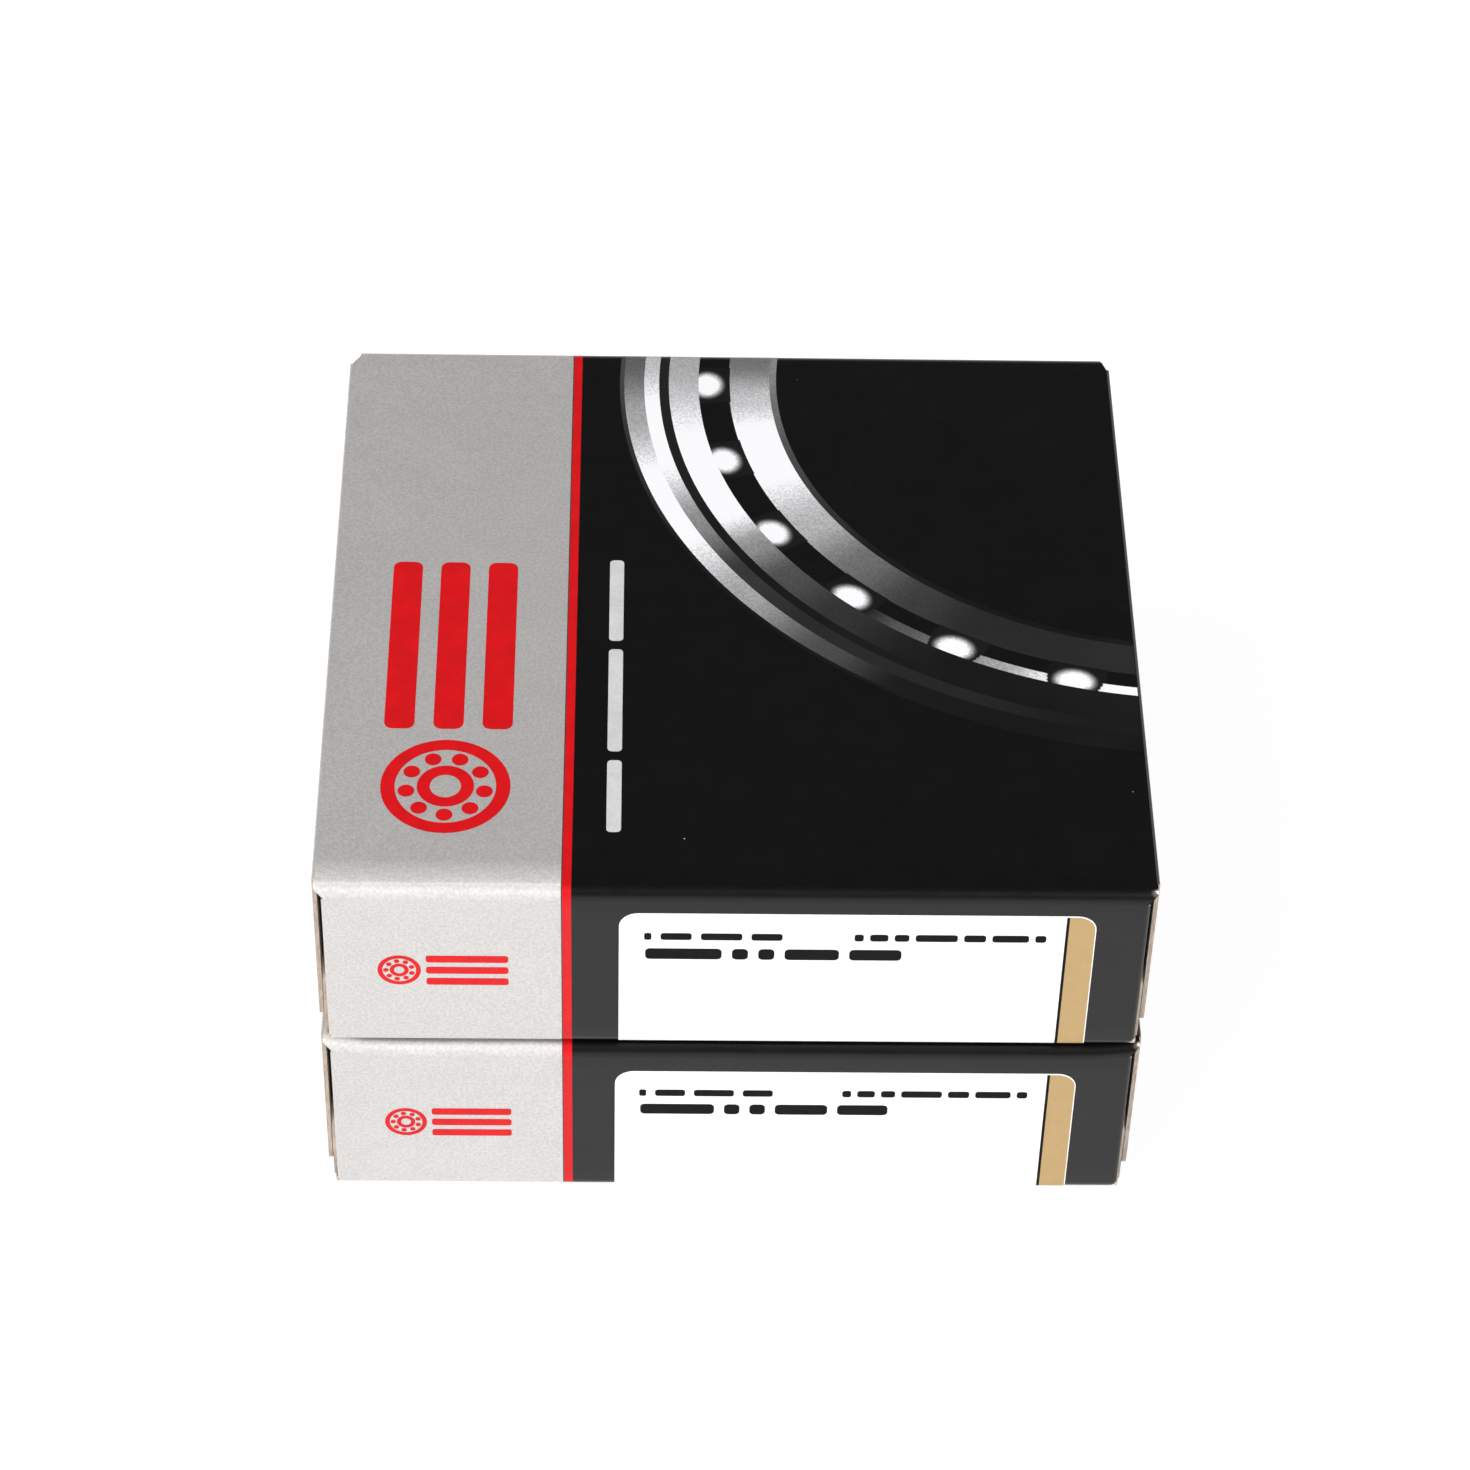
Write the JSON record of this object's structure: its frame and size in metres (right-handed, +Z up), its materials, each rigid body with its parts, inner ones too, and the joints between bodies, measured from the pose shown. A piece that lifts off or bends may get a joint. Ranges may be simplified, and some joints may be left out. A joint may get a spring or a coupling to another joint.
{
  "type": "angular contact bearing",
  "caption": "Stacked square folding cartons, printed silver and black with a red stripe, each holding a single-row angular contact ball bearing that draws out of one end.",
  "frame": {"origin": "middle of the footprint, on the surface that the lower carton stands on", "axes": "+X to the end that the bearings come out of, +Y from the front panel to the rear panel, +Z up along the bearings' axes"},
  "size_m": [0.0738, 0.0721, 0.0401],
  "materials": {
    "printed_board": "printed silver panel and black field with a red stripe, satin varnish, bare grey-brown board inside",
    "flap_board": "printed outside, bare grey-brown board inside and on its cut edges",
    "label_paper": "white satin label with a tan band at its right",
    "bearing_steel": "fine ground faces, superfinished raceways, light oil film",
    "ball_steel": "polished",
    "cage_laminate": "brown cloth-laminated phenolic, machined"
  },
  "bodies": {
    "lower_carton": {"lower_sleeve": "printed_board", "lower_label": "label_paper"},
    "lower_outer_ring": {"lower_outer_ring": "bearing_steel"},
    "lower_inner_ring": {"lower_inner_ring": "bearing_steel"},
    "lower_cage_set": {"lower_cage": "cage_laminate", "lower_balls": "ball_steel"},
    "lower_right_outer_flap": {"lower_right_outer_flap": "flap_board"},
    "lower_right_inner_flap": {"lower_right_inner_flap": "flap_board"},
    "lower_right_front_dust_flap": {"lower_right_front_dust_flap": "flap_board"},
    "lower_right_rear_dust_flap": {"lower_right_rear_dust_flap": "flap_board"},
    "lower_left_outer_flap": {"lower_left_outer_flap": "flap_board"},
    "lower_left_inner_flap": {"lower_left_inner_flap": "flap_board"},
    "lower_left_front_dust_flap": {"lower_left_front_dust_flap": "flap_board"},
    "lower_left_rear_dust_flap": {"lower_left_rear_dust_flap": "flap_board"},
    "upper_carton": {"upper_sleeve": "printed_board", "upper_label": "label_paper"},
    "upper_outer_ring": {"upper_outer_ring": "bearing_steel"},
    "upper_inner_ring": {"upper_inner_ring": "bearing_steel"},
    "upper_cage_set": {"upper_cage": "cage_laminate", "upper_balls": "ball_steel"},
    "upper_right_outer_flap": {"upper_right_outer_flap": "flap_board"},
    "upper_right_inner_flap": {"upper_right_inner_flap": "flap_board"},
    "upper_right_front_dust_flap": {"upper_right_front_dust_flap": "flap_board"},
    "upper_right_rear_dust_flap": {"upper_right_rear_dust_flap": "flap_board"},
    "upper_left_outer_flap": {"upper_left_outer_flap": "flap_board"},
    "upper_left_inner_flap": {"upper_left_inner_flap": "flap_board"},
    "upper_left_front_dust_flap": {"upper_left_front_dust_flap": "flap_board"},
    "upper_left_rear_dust_flap": {"upper_left_rear_dust_flap": "flap_board"}
  },
  "joints": [
    {"name": "lower_right_outer_flap_hinge", "type": "hinge", "parent": "lower_carton", "child": "lower_right_outer_flap", "pos_m": [0.03667, 0, 0.01981], "axis": [0, -1, 0], "range_deg": [0, 90]},
    {"name": "lower_right_inner_flap_hinge", "type": "hinge", "parent": "lower_carton", "child": "lower_right_inner_flap", "pos_m": [0.03624, 0, 0.00019], "axis": [0, 1, 0], "range_deg": [0, 90]},
    {"name": "lower_right_front_dust_flap_hinge", "type": "hinge", "parent": "lower_carton", "child": "lower_right_front_dust_flap", "pos_m": [0.03581, -0.03581, 0.01], "axis": [0, 0, -1], "range_deg": [0, 90]},
    {"name": "lower_right_rear_dust_flap_hinge", "type": "hinge", "parent": "lower_carton", "child": "lower_right_rear_dust_flap", "pos_m": [0.03581, 0.03581, 0.01], "axis": [0, 0, 1], "range_deg": [0, 90]},
    {"name": "lower_left_outer_flap_hinge", "type": "hinge", "parent": "lower_carton", "child": "lower_left_outer_flap", "pos_m": [-0.03667, 0, 0.01981], "axis": [0, 1, 0], "range_deg": [0, 90]},
    {"name": "lower_left_inner_flap_hinge", "type": "hinge", "parent": "lower_carton", "child": "lower_left_inner_flap", "pos_m": [-0.03624, 0, 0.00019], "axis": [0, -1, 0], "range_deg": [0, 90]},
    {"name": "lower_left_front_dust_flap_hinge", "type": "hinge", "parent": "lower_carton", "child": "lower_left_front_dust_flap", "pos_m": [-0.03581, -0.03581, 0.01], "axis": [0, 0, 1], "range_deg": [0, 90]},
    {"name": "lower_left_rear_dust_flap_hinge", "type": "hinge", "parent": "lower_carton", "child": "lower_left_rear_dust_flap", "pos_m": [-0.03581, 0.03581, 0.01], "axis": [0, 0, -1], "range_deg": [0, 90]},
    {"name": "lower_bearing_draw_out", "type": "slide", "parent": "lower_carton", "child": "lower_outer_ring", "axis": [1, 0, 0], "range_m": [0, 0.09], "deforming": ["lower_right_outer_flap", "lower_right_inner_flap", "lower_right_front_dust_flap", "lower_right_rear_dust_flap"]},
    {"name": "lower_inner_ring_spin", "type": "hinge", "parent": "lower_outer_ring", "child": "lower_inner_ring", "pos_m": [0, 0, 0.008], "axis": [0, 0, 1], "continuous": true},
    {"name": "lower_cage_spin", "type": "hinge", "parent": "lower_outer_ring", "child": "lower_cage_set", "pos_m": [0, 0, 0.008], "axis": [0, 0, 1], "continuous": true},
    {"name": "upper_carton_lift", "type": "slide", "parent": "lower_carton", "child": "upper_carton", "axis": [0, 0, 1], "range_m": [0, 0.04]},
    {"name": "upper_right_outer_flap_hinge", "type": "hinge", "parent": "upper_carton", "child": "upper_right_outer_flap", "pos_m": [0.03667, 0, 0.03991], "axis": [0, -1, 0], "range_deg": [0, 90]},
    {"name": "upper_right_inner_flap_hinge", "type": "hinge", "parent": "upper_carton", "child": "upper_right_inner_flap", "pos_m": [0.03624, 0, 0.02029], "axis": [0, 1, 0], "range_deg": [0, 90]},
    {"name": "upper_right_front_dust_flap_hinge", "type": "hinge", "parent": "upper_carton", "child": "upper_right_front_dust_flap", "pos_m": [0.03581, -0.03581, 0.0301], "axis": [0, 0, -1], "range_deg": [0, 90]},
    {"name": "upper_right_rear_dust_flap_hinge", "type": "hinge", "parent": "upper_carton", "child": "upper_right_rear_dust_flap", "pos_m": [0.03581, 0.03581, 0.0301], "axis": [0, 0, 1], "range_deg": [0, 90]},
    {"name": "upper_left_outer_flap_hinge", "type": "hinge", "parent": "upper_carton", "child": "upper_left_outer_flap", "pos_m": [-0.03667, 0, 0.03991], "axis": [0, 1, 0], "range_deg": [0, 90]},
    {"name": "upper_left_inner_flap_hinge", "type": "hinge", "parent": "upper_carton", "child": "upper_left_inner_flap", "pos_m": [-0.03624, 0, 0.02029], "axis": [0, -1, 0], "range_deg": [0, 90]},
    {"name": "upper_left_front_dust_flap_hinge", "type": "hinge", "parent": "upper_carton", "child": "upper_left_front_dust_flap", "pos_m": [-0.03581, -0.03581, 0.0301], "axis": [0, 0, 1], "range_deg": [0, 90]},
    {"name": "upper_left_rear_dust_flap_hinge", "type": "hinge", "parent": "upper_carton", "child": "upper_left_rear_dust_flap", "pos_m": [-0.03581, 0.03581, 0.0301], "axis": [0, 0, -1], "range_deg": [0, 90]},
    {"name": "upper_bearing_draw_out", "type": "slide", "parent": "upper_carton", "child": "upper_outer_ring", "axis": [1, 0, 0], "range_m": [0, 0.09], "deforming": ["upper_right_outer_flap", "upper_right_inner_flap", "upper_right_front_dust_flap", "upper_right_rear_dust_flap"]},
    {"name": "upper_inner_ring_spin", "type": "hinge", "parent": "upper_outer_ring", "child": "upper_inner_ring", "pos_m": [0, 0, 0.0281], "axis": [0, 0, 1], "continuous": true},
    {"name": "upper_cage_spin", "type": "hinge", "parent": "upper_outer_ring", "child": "upper_cage_set", "pos_m": [0, 0, 0.0281], "axis": [0, 0, 1], "continuous": true}
  ],
  "couplings": [
    {"joint": "lower_right_outer_flap_hinge", "follows": "lower_bearing_draw_out", "rad_per_m": 17.453},
    {"joint": "lower_right_inner_flap_hinge", "follows": "lower_bearing_draw_out", "rad_per_m": 17.453},
    {"joint": "lower_right_front_dust_flap_hinge", "follows": "lower_bearing_draw_out", "rad_per_m": 17.453},
    {"joint": "lower_right_rear_dust_flap_hinge", "follows": "lower_bearing_draw_out", "rad_per_m": 17.453},
    {"joint": "lower_left_inner_flap_hinge", "follows": "lower_left_outer_flap_hinge", "ratio": 1},
    {"joint": "lower_left_front_dust_flap_hinge", "follows": "lower_left_outer_flap_hinge", "ratio": 1},
    {"joint": "lower_left_rear_dust_flap_hinge", "follows": "lower_left_outer_flap_hinge", "ratio": 1},
    {"joint": "lower_cage_spin", "follows": "lower_inner_ring_spin", "ratio": 0.4334},
    {"joint": "upper_right_outer_flap_hinge", "follows": "upper_bearing_draw_out", "rad_per_m": 17.453},
    {"joint": "upper_right_inner_flap_hinge", "follows": "upper_bearing_draw_out", "rad_per_m": 17.453},
    {"joint": "upper_right_front_dust_flap_hinge", "follows": "upper_bearing_draw_out", "rad_per_m": 17.453},
    {"joint": "upper_right_rear_dust_flap_hinge", "follows": "upper_bearing_draw_out", "rad_per_m": 17.453},
    {"joint": "upper_left_inner_flap_hinge", "follows": "upper_left_outer_flap_hinge", "ratio": 1},
    {"joint": "upper_left_front_dust_flap_hinge", "follows": "upper_left_outer_flap_hinge", "ratio": 1},
    {"joint": "upper_left_rear_dust_flap_hinge", "follows": "upper_left_outer_flap_hinge", "ratio": 1},
    {"joint": "upper_cage_spin", "follows": "upper_inner_ring_spin", "ratio": 0.4334}
  ]
}
